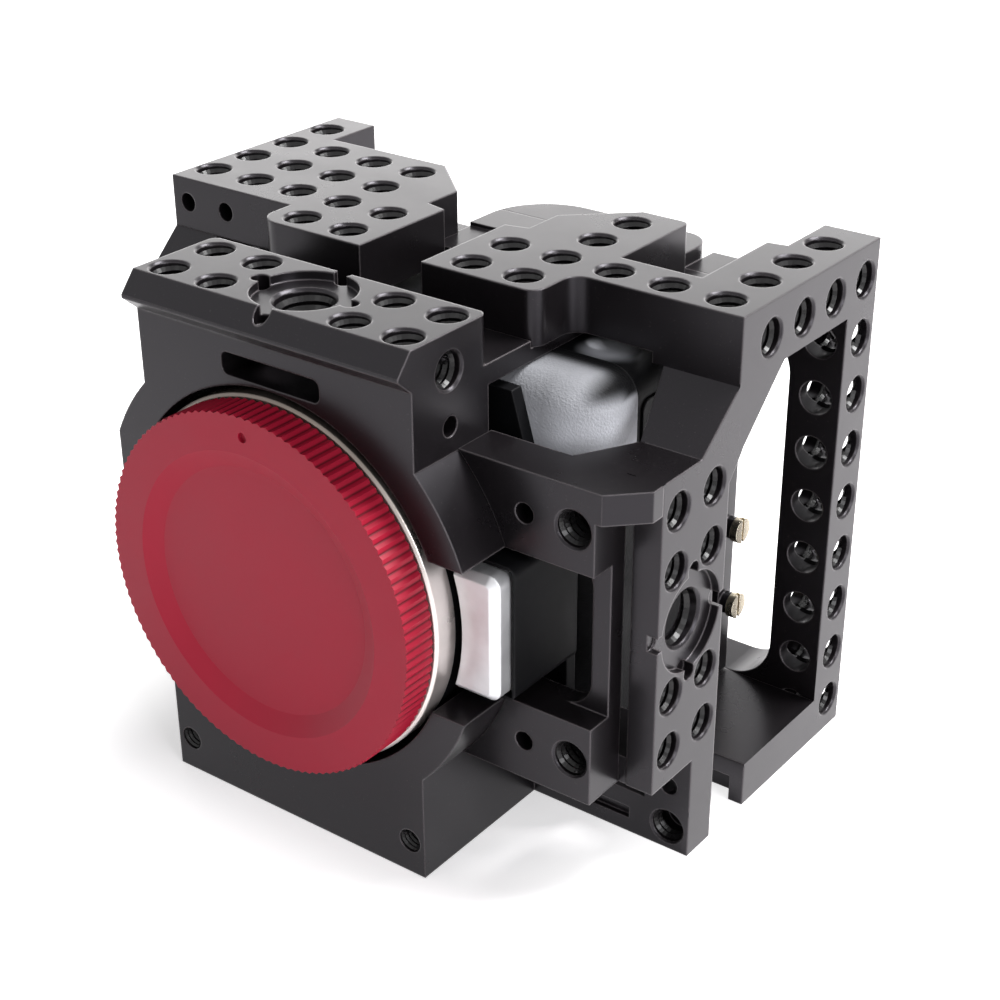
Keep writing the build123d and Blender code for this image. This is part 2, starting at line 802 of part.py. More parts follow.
with BuildPart() as bridge_screws:
    for side in (-1, 1):
        place = Plane(origin=(side * bridge_screw[0], bridge_screw[1], arm_low + 0.9 * head_play), z_dir=(0, 0, 1))
        flat_screw(place, m3_radius - shank_play, deck_top - arm_low + bridge_screw_grip, m3_head)
save(bridge_screws, "bridge_screws")

with BuildPart() as rear_screws:
    seat_y = cage_back - m3_head_high - m3_sink
    for x in rear_screw_x:
        seat = Plane(origin=(x, seat_y, floor_thick / 2), z_dir=(0, 1, 0))
        screw(seat, m3_radius - shank_play, rear_screw_long, m3_head, m3_head_high)
    for x in deck_screw_x:
        seat = Plane(origin=(x, seat_y, deck_screw_z), z_dir=(0, 1, 0))
        screw(seat, m3_radius - shank_play, deck_screw_long, m3_head, m3_head_high)
save(rear_screws, "rear_screws")

with BuildPart() as wing_screw:
    seat = Plane(origin=(foot_screw_x, leg_front, foot_screw_z), z_dir=(0, 1, 0))
    screw(seat, m25_radius - shank_play, leg_front - wing_back + 5, m25_head, m25_head_high)
save(wing_screw, "wing_screw")

# ---------------------------------------------------------------- camera body
with BuildPart() as camera_block:
    with BuildSketch(level(base_top + seat_gap)) as camera_plan:
        box_face(camera_left, camera_right, camera_front, camera_back)
        fillet(camera_plan.vertices().group_by(Axis.Y)[0], camera_corner)
        fillet(camera_plan.vertices().group_by(Axis.Y)[-1], camera_corner_back)
    extrude(amount=camera_top - base_top - seat_gap)
    fillet(camera_block.faces().sort_by(Axis.Z)[-1].edges(), camera_edge)
    # chamber behind the mount
    with BuildSketch(front_plane(camera_front)):
        with Locations((0, lens_height)):
            Circle(throat_radius + 1)
    extrude(amount=-chamber_depth, mode=Mode.SUBTRACT)

with BuildPart() as camera_front_shell:
    add(camera_block.part)
    split(bisect_by=front_plane(shell_seam), keep=Keep.TOP)
save(camera_front_shell, "camera_front_shell")

with BuildPart() as camera_body:
    add(camera_block.part)
    split(bisect_by=front_plane(shell_seam), keep=Keep.BOTTOM)
    # tripod socket, and the pockets of the buttons beside the screen
    drill_plain([(0, tie_y, base_top + seat_gap)], (0, 0, -1), quarter_radius, tie_reach + thread_spare)
    with BuildSketch(front_plane(camera_back)):
        with Locations([(key_button_x, screen_mid_z + step) for step in key_button_steps]):
            pocket_wide = key_button_wide + 2 * key_button_play
            pocket_high = key_button_high + 2 * key_button_play
            RectangleRounded(pocket_wide, pocket_high, key_button_corner + key_button_play)
    pocket_depth = key_button_depth + key_button_travel + key_button_play
    extrude(amount=pocket_depth, mode=Mode.SUBTRACT)
save(camera_body, "camera_body")

with BuildPart() as camera_front_cover:
    with BuildSketch(front_plane(camera_front)):
        outline([
            (cover_left, lens_height + cover_low),
            (cover_left, lens_height + cover_high),
            (cover_left + 6, lens_height + cover_top),
            (cover_right - 10.7, lens_height + cover_top),
            (cover_right, lens_height - 4.7),
            (cover_right, lens_height + cover_low),
        ])
    extrude(amount=cover_thick)
    with BuildSketch(front_plane(camera_front)):
        with Locations((0, lens_height)):
            Circle(boss_radius)
    extrude(amount=camera_front - boss_front)
    bezel_right = button_right + running + bezel_rim
    bezel_half = button_half + running + bezel_rim
    with BuildSketch(front_plane(camera_front)):
        with Locations(((20 + bezel_right) / 2, lens_height)):
            RectangleRounded(bezel_right - 20, 2 * bezel_half, 1.5)
    extrude(amount=camera_front - bezel_front)
    with BuildSketch(front_plane(boss_front)):
        with Locations((0, lens_height)):
            Circle(throat_radius)
    extrude(amount=boss_front - camera_front, mode=Mode.SUBTRACT)
    # pocket of the release button, and the bore of the lock pin
    pocket_back = button_front + button_depth + button_travel + 0.3
    with BuildSketch(front_plane(boss_front)):
        pocket_half = button_half + running
        box_face(24, button_right + running, lens_height - pocket_half, lens_height + pocket_half)
        with Locations((0, lens_height)):
            Circle(boss_radius, mode=Mode.SUBTRACT)
    extrude(amount=boss_front - pocket_back, mode=Mode.SUBTRACT)
    with BuildSketch(front_plane(boss_front)):
        with Locations((pin_place, lens_height)):
            Circle(pin_radius + running)
    extrude(amount=-9, mode=Mode.SUBTRACT)
save(camera_front_cover, "camera_front_cover")

with BuildPart() as camera_side_door:
    with BuildSketch(side_plane(camera_right)):
        door_front = shell_seam + 1
        door_back = camera_back - camera_corner_back - 1
        with Locations(((door_front + door_back) / 2, (base_top + camera_top) / 2)):
            RectangleRounded(door_back - door_front, camera_top - base_top - 2 * camera_pad, 2)
    extrude(amount=door_proud)
save(camera_side_door, "camera_side_door")

with BuildPart() as rear_screen:
    with BuildSketch(front_plane(camera_back)):
        with Locations((screen_mid_x, screen_mid_z)):
            RectangleRounded(screen_wide, screen_high, 2)
    extrude(amount=-screen_thick)
save(rear_screen, "rear_screen")


def key_button(step):
    """Button beside the screen, raised above the middle of the screen by step."""
    with BuildSketch(front_plane(camera_back + key_button_proud)) as face:
        with Locations((key_button_x, screen_mid_z + step)):
            RectangleRounded(key_button_wide, key_button_high, key_button_corner)
    extrude(face.sketch, amount=key_button_proud + key_button_depth)


with BuildPart() as key_button_low:
    key_button(key_button_steps[0])
save(key_button_low, "key_button_low")

with BuildPart() as key_button_second:
    key_button(key_button_steps[1])
save(key_button_second, "key_button_second")

with BuildPart() as key_button_third:
    key_button(key_button_steps[2])
save(key_button_third, "key_button_third")

with BuildPart() as key_button_top:
    key_button(key_button_steps[3])
save(key_button_top, "key_button_top")

with BuildPart() as sensor_frame:
    with BuildSketch(front_plane(sensor_back)):
        with Locations((0, lens_height)):
            Rectangle(sensor_wide, sensor_high)
    extrude(amount=sensor_frame_thick)
    with BuildSketch(front_plane(sensor_front)):
        with Locations((0, lens_height)):
            Rectangle(sensor_open_wide, sensor_open_high)
    extrude(amount=-sensor_glass_thick - sensor_glass_gap, mode=Mode.SUBTRACT)
save(sensor_frame, "sensor_frame")

with BuildPart() as sensor_glass:
    with BuildSketch(front_plane(sensor_front + sensor_glass_thick + sensor_glass_gap)):
        with Locations((0, lens_height)):
            Rectangle(sensor_open_wide - 2 * sensor_glass_gap, sensor_open_high - 2 * sensor_glass_gap)
    extrude(amount=sensor_glass_thick)
save(sensor_glass, "sensor_glass")

# ---------------------------------------------------------------- bayonet mount ring
screw_ring = 28.6
screw_angles = (40, 130, 220, 310)
screw_radius = 0.82
screw_head = 1.55


def arc_face(inner_radius, outer_radius, start, angle):
    """Ring sector about the lens axis, inside a sketch."""
    with BuildLine() as edge:
        inner = CenterArc((0, lens_height), inner_radius, start, angle)
        outer = CenterArc((0, lens_height), outer_radius, start, angle)
        Line(inner @ 0, outer @ 0)
        Line(inner @ 1, outer @ 1)
    make_face(edge.edges())


def on_ring(angle, y):
    """Point of the mount's screw circle at depth y."""
    a = math.radians(angle)
    return (screw_ring * math.cos(a), y, lens_height + screw_ring * math.sin(a))


with BuildPart() as mount_ring:
    with BuildSketch(front_plane(ring_back)):
        with Locations((0, lens_height)):
            Circle(ring_radius)
            Circle(throat_radius, mode=Mode.SUBTRACT)
    extrude(amount=ring_back - ring_front)
    chamfer(mount_ring.faces().sort_by(Axis.Y)[0].edges().sort_by(SortBy.LENGTH)[-1], 0.4)
    claw_front = ring_front + claw_set
    for i in range(claw_count):
        with BuildSketch(front_plane(claw_front)):
            arc_face(claw_radius, throat_radius + 0.5, 90 - claw_angle / 2 + 360 / claw_count * i, claw_angle)
        extrude(amount=-claw_thick)
    with Locations(*facing([on_ring(a, ring_front) for a in screw_angles], (0, -1, 0))):
        CounterSinkHole(screw_radius + 0.08, screw_head + 0.15, ring_back - ring_front, 90)
    with BuildSketch(front_plane(ring_front)):
        with Locations((pin_place, lens_height)):
            Circle(pin_radius + pin_play)
    extrude(amount=ring_front - ring_back, mode=Mode.SUBTRACT)
save(mount_ring, "mount_ring")

with BuildPart() as mount_screws:
    for a in screw_angles:
        place = Plane(origin=on_ring(a, ring_front + 0.1), z_dir=(0, 1, 0))
        flat_screw(place, screw_radius, ring_back - ring_front - 0.1, screw_head)
save(mount_screws, "mount_screws")

# ---------------------------------------------------------------- body cap
with BuildPart() as red_cap:
    # knurled rim: a star-shaped outline, one tooth every few degrees
    with BuildSketch(front_plane(cap_back)):
        rim = []
        for i in range(2 * cap_teeth):
            radius = cap_radius - cap_tooth_depth * (i % 2)
            a = math.pi * i / cap_teeth
            rim.append((radius * math.cos(a), lens_height + radius * math.sin(a)))
        outline(rim)
    extrude(amount=cap_back - cap_front)
    # hollow back
    with BuildSketch(front_plane(cap_back)):
        with Locations((0, lens_height)):
            Circle(cap_radius - cap_wall)
    extrude(amount=cap_back - cap_front - cap_wall - cap_sink, mode=Mode.SUBTRACT)
    # sunk face with a bevelled step
    with BuildSketch(front_plane(cap_front)):
        with Locations((0, lens_height)):
            Circle(cap_land)
    with BuildSketch(front_plane(cap_front + cap_sink)):
        with Locations((0, lens_height)):
            Circle(cap_floor)
    loft(mode=Mode.SUBTRACT)
    with BuildSketch(front_plane(cap_front)):
        with Locations((0, lens_height + cap_mark_radius)):
            Circle(cap_mark)
    extrude(amount=-0.6, mode=Mode.SUBTRACT)
    # bayonet tube and its lugs
    tube_front = cap_front + cap_sink + cap_wall
    tube_end = ring_front + claw_set + claw_thick + lug_play + lug_thick
    with BuildSketch(front_plane(tube_front)):
        with Locations((0, lens_height)):
            Circle(lug_tube)
            Circle(lug_tube_inner, mode=Mode.SUBTRACT)
    extrude(amount=tube_front - tube_end)
    for i in range(claw_count):
        start = 90 - claw_angle / 2 + 2 + 360 / claw_count * i
        with BuildSketch(front_plane(tube_end)):
            arc_face(lug_tube - 0.5, lug_radius, start, claw_angle - 4)
        extrude(amount=lug_thick)
save(red_cap, "red_cap")

# ---------------------------------------------------------------- release button and lock pin
with BuildPart() as release_button:
    with BuildSketch(front_plane(button_front)):
        box_face(26, button_right, lens_height - button_half, lens_height + button_half)
        with Locations((0, lens_height)):
            Circle(button_clear, mode=Mode.SUBTRACT)
    extrude(amount=-button_depth)
    fillet(release_button.edges().filter_by(Axis.Y).group_by(Axis.X)[-1], button_round)
    outer_edges = release_button.faces().sort_by(Axis.Y)[0].edges().sort_by(Axis.X)[1:]
    chamfer(outer_edges, button_bevel)
save(release_button, "release_button")

with BuildPart() as lock_pin:
    with BuildSketch(front_plane(ring_front - pin_reach)):
        with Locations((pin_place, lens_height)):
            Circle(pin_radius)
    extrude(amount=-(pin_reach + ring_back - ring_front + 4))
save(lock_pin, "lock_pin")

# ---------------------------------------------------------------- tie-down screw
with BuildPart() as tie_down_screw:
    seat = Plane(origin=(0, tie_y, tie_seat - tie_washer_thick), z_dir=(0, 0, -1))
    screw(seat, quarter_radius - shank_play, floor_thick - tie_seat + tie_reach, tie_head, tie_head_high)
    with BuildSketch(seat.offset(tie_head_high)):
        Rectangle(2 * tie_head + 1, 1.6)
    extrude(amount=-1.6, mode=Mode.SUBTRACT)
save(tie_down_screw, "tie_down_screw")

with BuildPart() as tie_down_washer:
    with BuildSketch(level(tie_seat)):
        with Locations((0, tie_y)):
            Circle(tie_head - 0.3)
            Circle(quarter_radius + shank_play, mode=Mode.SUBTRACT)
    extrude(amount=-tie_washer_thick)
save(tie_down_washer, "tie_down_washer")

# ---------------------------------------------------------------- cable clamp
clamp_mid = (clamp_front + clamp_back) / 2
jaw_inner = clamp_face - clamp_jaw_thick
post_outer = jaw_inner - 0.1
with BuildPart() as clamp_post:
    with BuildSketch(side_plane(post_outer - clamp_post_thick)):
        box_face(clamp_front, clamp_back, base_top, clamp_high)
    extrude(amount=clamp_post_thick)
    drill_plain([(post_outer, clamp_mid, z) for z in clamp_heights], (1, 0, 0), m3_radius, clamp_post_thick)
save(clamp_post, "clamp_post")

with BuildPart() as clamp_jaw:
    with BuildSketch(side_plane(jaw_inner)):
        box_face(clamp_front, clamp_back, base_top + 0.4, clamp_high)
    extrude(amount=clamp_jaw_thick)
    for z in clamp_heights:
        with BuildSketch(side_plane(clamp_face)):
            with Locations((clamp_mid, z)):
                Circle(clamp_collar)
        extrude(amount=clamp_collar_high)
        mouth = [(clamp_face + clamp_collar_high, clamp_mid, z)]
        drill_plain(mouth, (1, 0, 0), m3_radius, clamp_jaw_thick + clamp_collar_high)
save(clamp_jaw, "clamp_jaw")


def clamp_screw(z):
    """Brass slotted screw through the jaw's collar into the post."""
    seat = Plane(origin=(clamp_face + clamp_collar_high, clamp_mid, z), z_dir=(1, 0, 0))
    screw(seat, m3_radius - shank_play, clamp_jaw_thick + clamp_collar_high + 3, clamp_head, clamp_head_high)
    with BuildSketch(seat.offset(clamp_head_high)) as driver_slot:
        Rectangle(2 * clamp_head + 1, clamp_slot)
    extrude(driver_slot.sketch, amount=-clamp_head_high / 2, mode=Mode.SUBTRACT)


with BuildPart() as clamp_screw_lower:
    clamp_screw(clamp_heights[0])
save(clamp_screw_lower, "clamp_screw_lower")

with BuildPart() as clamp_screw_upper:
    clamp_screw(clamp_heights[1])
save(clamp_screw_upper, "clamp_screw_upper")
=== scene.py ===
# %% [markdown]
# # A camera cage, dressed
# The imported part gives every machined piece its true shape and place. This lesson adds what makes
# it look real: thread ridges in the holes, key sockets in the screws, anodised and painted
# finishes, and a plain studio round it. Shapes are worked out in millimetres and scaled once. All
# lengths in the materials and in the studio are in metres, as Blender counts.

# %% Load the frame
import bpy
import json
import math
import numpy as np
from mathutils import Matrix, Vector


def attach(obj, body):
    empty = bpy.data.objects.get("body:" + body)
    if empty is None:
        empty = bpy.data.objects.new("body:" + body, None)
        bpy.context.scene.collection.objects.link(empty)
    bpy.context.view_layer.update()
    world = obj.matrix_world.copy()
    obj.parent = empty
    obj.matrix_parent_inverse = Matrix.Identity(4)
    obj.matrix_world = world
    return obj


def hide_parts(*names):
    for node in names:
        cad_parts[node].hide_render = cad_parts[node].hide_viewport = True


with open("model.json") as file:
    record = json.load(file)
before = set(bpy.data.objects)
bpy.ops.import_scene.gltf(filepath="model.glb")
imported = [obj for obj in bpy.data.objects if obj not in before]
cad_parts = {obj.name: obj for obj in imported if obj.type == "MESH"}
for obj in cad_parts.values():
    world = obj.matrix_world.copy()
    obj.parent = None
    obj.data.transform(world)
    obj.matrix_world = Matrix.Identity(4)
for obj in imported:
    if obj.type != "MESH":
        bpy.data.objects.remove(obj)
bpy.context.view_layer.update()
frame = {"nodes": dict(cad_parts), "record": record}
nodes = frame["nodes"]
scene = bpy.context.scene
MM = 0.001

# %% [markdown]
# ## Camera
# The cage is seen from its right front, a little from above, through a long lens. A long lens keeps
# parallel edges nearly parallel, as in product pictures. The small shift moves the picture on the
# sensor instead of turning the camera, so uprights stay where they are.

# %% Camera
AZIMUTH, ELEVATION, ROLL = math.radians(36.084), math.radians(28.401), math.radians(0.194)
CAMERA_PLACE = Vector((186.304, -222.672, 196.057)) * MM
FOCAL_LENGTH, SENSOR_WIDTH = 69.08, 36.0
SHIFT_RIGHT, SHIFT_UP = -0.0301, 0.0372
NEAREST = 0.01

back = Vector((
    math.sin(AZIMUTH) * math.cos(ELEVATION),
    -math.cos(AZIMUTH) * math.cos(ELEVATION),
    math.sin(ELEVATION),
))
right = Vector((math.cos(AZIMUTH), math.sin(AZIMUTH), 0))
turned = Matrix((right, back.cross(right), back)).transposed() @ Matrix.Rotation(ROLL, 3, "Z")
lens_data = bpy.data.cameras.new("camera")
lens_data.lens = FOCAL_LENGTH
lens_data.sensor_width = SENSOR_WIDTH
lens_data.shift_x = SHIFT_RIGHT
lens_data.shift_y = SHIFT_UP
lens_data.clip_start = NEAREST
camera = bpy.data.objects.new("camera", lens_data)
camera.matrix_world = Matrix.Translation(CAMERA_PLACE) @ turned.to_4x4()
scene.collection.objects.link(camera)
scene.camera = camera
print("camera at", [round(v, 3) for v in camera.location])

# %% [markdown]
# ## Node helpers
# Shader graphs are easier to read as short lines of code. `add` makes one node, and takes for each
# input either a plain value or the output of another node. The others are one node each, or two.

# %% Node helpers
def add(tree, kind, inputs=None, **settings):
    """Make a node, set its properties, then fill or link its inputs by name or number."""
    made = tree.nodes.new(kind)
    for name, value in settings.items():
        setattr(made, name, value)
    for key, value in (inputs or {}).items():
        if isinstance(value, bpy.types.NodeSocket):
            tree.links.new(value, made.inputs[key])
        else:
            made.inputs[key].default_value = value
    return made


def math_node(tree, operation, *values):
    """One Math node; values are numbers or sockets. Returns its output."""
    return add(tree, "ShaderNodeMath", dict(enumerate(values)), operation=operation).outputs[0]


def vector_math(tree, operation, *values, result="Vector"):
    """One Vector Math node; values are vectors or sockets. Returns the named output."""
    made = add(tree, "ShaderNodeVectorMath", dict(enumerate(values)), operation=operation)
    return made.outputs[result]


def mix_colour(tree, factor, a, b):
    """Mix two colours by a factor. Returns the colour output."""
    made = add(tree, "ShaderNodeMix", {0: factor, 6: a, 7: b}, data_type="RGBA")
    return made.outputs[2]


def ramp(tree, factor, low, high, a=0.0, b=1.0):
    """Map a value from low..high to a..b, smoothly and clamped. Returns the output."""
    inputs = {0: factor, 1: low, 2: high, 3: a, 4: b}
    return add(tree, "ShaderNodeMapRange", inputs, interpolation_type="SMOOTHSTEP").outputs[0]


def noise(tree, place, scale, detail, roughness):
    """Noise between 0 and 1 at a scale given in features per metre."""
    inputs = {"Vector": place, "Scale": scale, "Detail": detail, "Roughness": roughness}
    return add(tree, "ShaderNodeTexNoise", inputs).outputs[0]


def object_place(tree):
    """The shaded point in the object's own coordinates."""
    return add(tree, "ShaderNodeTexCoord").outputs["Object"]


def split(tree, vector):
    """The x, y and z outputs of a vector."""
    return add(tree, "ShaderNodeSeparateXYZ", {0: vector}).outputs


def new_group(name, inputs, outputs):
    """Start a shader node group with named sockets. Returns tree, group input and group output."""
    tree = bpy.data.node_groups.new(name, "ShaderNodeTree")
    for label, kind, value in inputs:
        tree.interface.new_socket(label, in_out="INPUT", socket_type=kind).default_value = value
    for label, kind in outputs:
        tree.interface.new_socket(label, in_out="OUTPUT", socket_type=kind)
    return tree, tree.nodes.new("NodeGroupInput"), tree.nodes.new("NodeGroupOutput")


print("node helpers are ready")

# %% [markdown]
# ## Flush joints
# Where two machined pieces meet flush, the cage is fitted and tumbled as one body, so its joint is
# hardly seen. The boxes below, in millimetres, lie round those joints. Each is a centre and a half
# size, and the soft edges of the next step are switched off inside them.

# %% Flush joints
SEAMS = (
    ((49.5, -14.9, 73.0), (9.2, 0.45, 0.4)),  # strip against the wing's upper edge
    ((58.5, 20.0, 81.0), (0.3, 30.0, 0.5)),   # bar on the link and on the rear wall
    ((58.5, 38.6, 8.3), (0.3, 0.5, 8.4)),     # rear wall against the base
    ((58.5, 20.0, 8.3), (0.3, 30.0, 0.5)),    # strip and rear wall on the base
    ((48.0, 0.2, 77.0), (0.6, 5.4, 4.3)),     # link against its sloped web
    ((51.0, 5.2, 81.0), (7.8, 0.5, 0.4)),     # link under the bar's front
    ((54.2, -3.3, 8.3), (5.0, 0.4, 0.5)),     # leg on the base
    ((27.5, -15.4, 4.3), (0.4, 0.5, 4.6)),    # lens frame against the base
    ((27.5, -12.4, 8.3), (0.4, 3.4, 0.5)),    # block behind the lens frame on the base
)


def seam_mask(tree, boxes):
    """1 inside any of the boxes, 0 elsewhere: the largest of |p - centre| / half size is under 1."""
    place = object_place(tree)
    found = 0.0
    for centre, half in boxes:
        offset = vector_math(tree, "SUBTRACT", place, Vector(centre) * MM)
        share = vector_math(tree, "DIVIDE", offset, Vector(half) * MM)
        x, y, z = split(tree, vector_math(tree, "ABSOLUTE", share))
        widest = math_node(tree, "MAXIMUM", math_node(tree, "MAXIMUM", x, y), z)
        found = math_node(tree, "MAXIMUM", found, math_node(tree, "LESS_THAN", widest, 1.0))
    return found


print("flush joints", len(SEAMS))

# %% [markdown]
# ## Edges and grain
# Machined metal never has a perfectly sharp edge: a tumbling or blasting step leaves a radius of a
# few tenths of a millimetre, which catches the light as a thin line. The Bevel node finds such edges
# by looking at the surface round each point, so the mesh itself can stay as it is. Comparing its
# normal with the plain one also gives a mask of the edges, for wear and, on the anodised metal, for
# a painted highlight along them.

# %% Soft edges group
BEVEL_SAMPLES = 6
EDGE_STARTS, EDGE_FULL = 0.99, 0.85  # cosines of the angle between the two normals

edge_group, gin, gout = new_group(
    "soft_edges",
    [("Radius", "NodeSocketFloat", 0.0004)],
    [("Normal", "NodeSocketVector"), ("Edge", "NodeSocketFloat")],
)
bevel = add(edge_group, "ShaderNodeBevel", {"Radius": gin.outputs["Radius"]}, samples=BEVEL_SAMPLES)
rounded = bevel.outputs[0]
plain = add(edge_group, "ShaderNodeNewGeometry").outputs["Normal"]
likeness = vector_math(edge_group, "DOT_PRODUCT", rounded, plain, result="Value")
edge_mask = ramp(edge_group, likeness, EDGE_STARTS, EDGE_FULL)
flush = seam_mask(edge_group, SEAMS)
open_edge = math_node(edge_group, "SUBTRACT", 1.0, flush)
kept = add(edge_group, "ShaderNodeMix", {0: flush, 4: rounded, 5: plain}, data_type="VECTOR")
edge_group.links.new(kept.outputs[1], gout.inputs["Normal"])
edge_group.links.new(math_node(edge_group, "MULTIPLY", edge_mask, open_edge), gout.inputs["Edge"])
print("group", edge_group.name, "nodes", len(edge_group.nodes))

# %% [markdown]
# A blasted, moulded or grained surface is a field of tiny hills. Two noises, one fine and one
# coarse, give the hills and the slow drift in sheen that fingers and dust leave. A third, cut off
# high, leaves single specks of dust.

# %% Grain group
SPECK_SCALE, SPECK_STARTS, SPECK_FULL = 2600.0, 0.70, 0.78

grain_group, gin, gout = new_group(
    "grain",
    [("Scale", "NodeSocketFloat", 4000.0), ("Drift", "NodeSocketFloat", 60.0)],
    [("Height", "NodeSocketFloat"), ("Drift", "NodeSocketFloat"), ("Speck", "NodeSocketFloat")],
)
place = object_place(grain_group)
fine = noise(grain_group, place, gin.outputs["Scale"], 2.0, 0.5)
slow = noise(grain_group, place, gin.outputs["Drift"], 4.0, 0.62)
speck = ramp(grain_group, noise(grain_group, place, SPECK_SCALE, 1.0, 0.5), SPECK_STARTS, SPECK_FULL)
grain_group.links.new(fine, gout.inputs["Height"])
grain_group.links.new(slow, gout.inputs["Drift"])
grain_group.links.new(speck, gout.inputs["Speck"])
print("group", grain_group.name, "nodes", len(grain_group.nodes))

# %% [markdown]
# ## One recipe for all finishes
# Every finish here starts from the same graph: a base colour that drifts a little, edges that wear
# to another colour, or on the anodised metal also lighten as a painted highlight, a roughness that
# drifts with it, and grain for the bump. Only numbers differ.
# The plain numbers of the shader, such as its IOR, are set on the shader itself.

# %% Finish recipe
DUST = (0.5, 0.47, 0.45, 1)


def finish(name, colour, edge_colour, rough, metallic=0.0, radius=0.0004, edge=0.5, drift=0.12,
           grain=4000.0, bump=0.04, rough_drift=0.08, depth=0.00004, coat=0.0, dust=0.0, ior=1.5,
           tint=(1, 1, 1)):
    """A Principled material: drifting colour, worn edges, grained bump with soft edges.

    radius and edge are the soft edge's size and how far it wears; grain, depth and bump are the
    hills' number per metre, height and strength; drift and rough_drift are the slow changes.
    """
    made = bpy.data.materials.new(name)
    made.use_nodes = True
    tree = made.node_tree
    shader = tree.nodes["Principled BSDF"]
    edges = add(tree, "ShaderNodeGroup", node_tree=edge_group)
    edges.inputs["Radius"].default_value = radius
    hills = add(tree, "ShaderNodeGroup", node_tree=grain_group)
    hills.inputs["Scale"].default_value = grain
    slowly = hills.outputs["Drift"]
    light = ramp(tree, slowly, 0.3, 0.7, 1 - drift, 1 + drift)
    shade = add(tree, "ShaderNodeVectorMath", {0: colour, "Scale": light}, operation="SCALE")
    # edges take the edge colour: wear, and on the anodised metal also a painted highlight
    wear_and_sheen = math_node(tree, "MULTIPLY", edges.outputs["Edge"], edge)
    body = mix_colour(tree, wear_and_sheen, shade.outputs[0], (*edge_colour, 1))
    if dust:
        speckled = math_node(tree, "MULTIPLY", hills.outputs["Speck"], dust)
        body = mix_colour(tree, speckled, body, DUST)
    tree.links.new(body, shader.inputs["Base Color"])
    roughness = ramp(tree, slowly, 0.25, 0.75, rough - rough_drift, rough + rough_drift)
    tree.links.new(roughness, shader.inputs["Roughness"])
    bumped = add(tree, "ShaderNodeBump", {
        "Strength": bump,
        "Distance": depth,
        "Height": hills.outputs["Height"],
        "Normal": edges.outputs["Normal"],
    })
    tree.links.new(bumped.outputs[0], shader.inputs["Normal"])
    shader.inputs["Metallic"].default_value = metallic
    shader.inputs["IOR"].default_value = ior
    shader.inputs["Specular Tint"].default_value = (*tint, 1)
    shader.inputs["Coat Weight"].default_value = coat
    return made


print("one recipe, with groups", [group.name for group in bpy.data.node_groups])

# %% [markdown]
# ## The metals
# The cage is aluminium, bead-blasted and then hard-anodised black. The oxide is dark but still
# mirrors a bright room at a slant, so its tops and sides look lighter than its front. Brass, nickel
# and turned steel are bare metals: their colour is the colour of their reflections.

# %% Metals
# the lighter edge colour is partly wear to bare metal and partly a painted highlight for the thin bright
# edge lines
anodised = finish("anodised_black", (0.0046, 0.0038, 0.0044), (0.125, 0.112, 0.116), 0.29, ior=1.385,
                  radius=0.00045, edge=0.7, grain=5200.0, bump=0.07, dust=0.03,
                  tint=(0.95, 0.91, 1.0), drift=0.06, rough_drift=0.025)
thread_metal = finish("thread_cut", (0.006, 0.0055, 0.006), (0.13, 0.12, 0.13), 0.27, ior=1.40,
                      radius=0.00015, edge=0.7, grain=2500.0, bump=0.1)
steel = finish("screw_steel", (0.38, 0.38, 0.40), (0.6, 0.6, 0.62), 0.32, metallic=1.0,
               radius=0.0002)
mount_steel = finish("mount_steel", (0.66, 0.60, 0.575), (0.85, 0.81, 0.78), 0.32, metallic=0.85,
                     radius=0.0003, grain=1800.0, bump=0.05)
nickel = finish("button_nickel", (0.58, 0.585, 0.60), (0.72, 0.72, 0.74), 0.40, metallic=0.8,
                radius=0.0004, grain=6500.0, bump=0.12)
black_oxide = finish("black_oxide", (0.055, 0.053, 0.055), (0.2, 0.2, 0.2), 0.36, metallic=1.0,
                     radius=0.0002)
brass = finish("brass", (0.66, 0.59, 0.46), (0.92, 0.87, 0.74), 0.26, metallic=1.0, radius=0.00018)
print("metals", len(bpy.data.materials))

# %% [markdown]
# ## The mouldings
# The body cap is matte red nylon. Its spark-eroded mould leaves an even, slightly pebbled skin. The
# camera's shell is light grey with a grained cover, and its front plate is black.

# %% Mouldings
BLACK = (0.0036, 0.0036, 0.0042)

cap_red = finish("cap_red", (0.30, 0.0055, 0.024), (0.62, 0.032, 0.07), 0.47, radius=0.00012,
                 edge=0.5, grain=3600.0, bump=0.16, drift=0.02, rough_drift=0.02, ior=1.34)
shell_grey = finish("camera_grain", (0.60, 0.61, 0.65), (0.62, 0.63, 0.66), 0.6, radius=0.0006,
                    edge=0.2, grain=2600.0, bump=0.9, depth=0.00011, ior=1.33, tint=(0.4, 0.4, 0.4))
shell_black = finish("camera_black", BLACK, (0.022, 0.022, 0.024), 0.5, radius=0.0004,
                     grain=3800.0, bump=0.3, depth=0.00006, ior=1.18)
nylon = finish("washer_nylon", (0.78, 0.77, 0.72), (0.85, 0.84, 0.8), 0.4, radius=0.0002)
gloss = finish("screen_gloss", (0.012, 0.012, 0.015), (0.05, 0.05, 0.055), 0.1, radius=0.0004,
               grain=800.0, bump=0.02, rough_drift=0.04, coat=0.6)
sensor_coat = finish("sensor_glass", (0.03, 0.055, 0.07), (0.1, 0.2, 0.22), 0.06, radius=0.0002,
                     bump=0.0, rough_drift=0.02, coat=1.0)
print("materials", [made.name for made in bpy.data.materials])

# %% [markdown]
# ## Paint by place
# Some finishes change over one piece. A mask made from the object's own coordinates says where, and
# `paint_over` lays a second colour on the first there. Each pair below is where a mask starts and
# where it is full, which keeps every border a little soft.

# %% Second colours
def paint_over(material, colour, mask):
    """Cover a finish with another colour where the mask is 1."""
    tree = material.node_tree
    socket = tree.nodes["Principled BSDF"].inputs["Base Color"]
    covered = mix_colour(tree, mask(tree), socket.links[0].from_socket, (*colour, 1))
    tree.links.new(covered, socket)
    print("painted over", material.name)
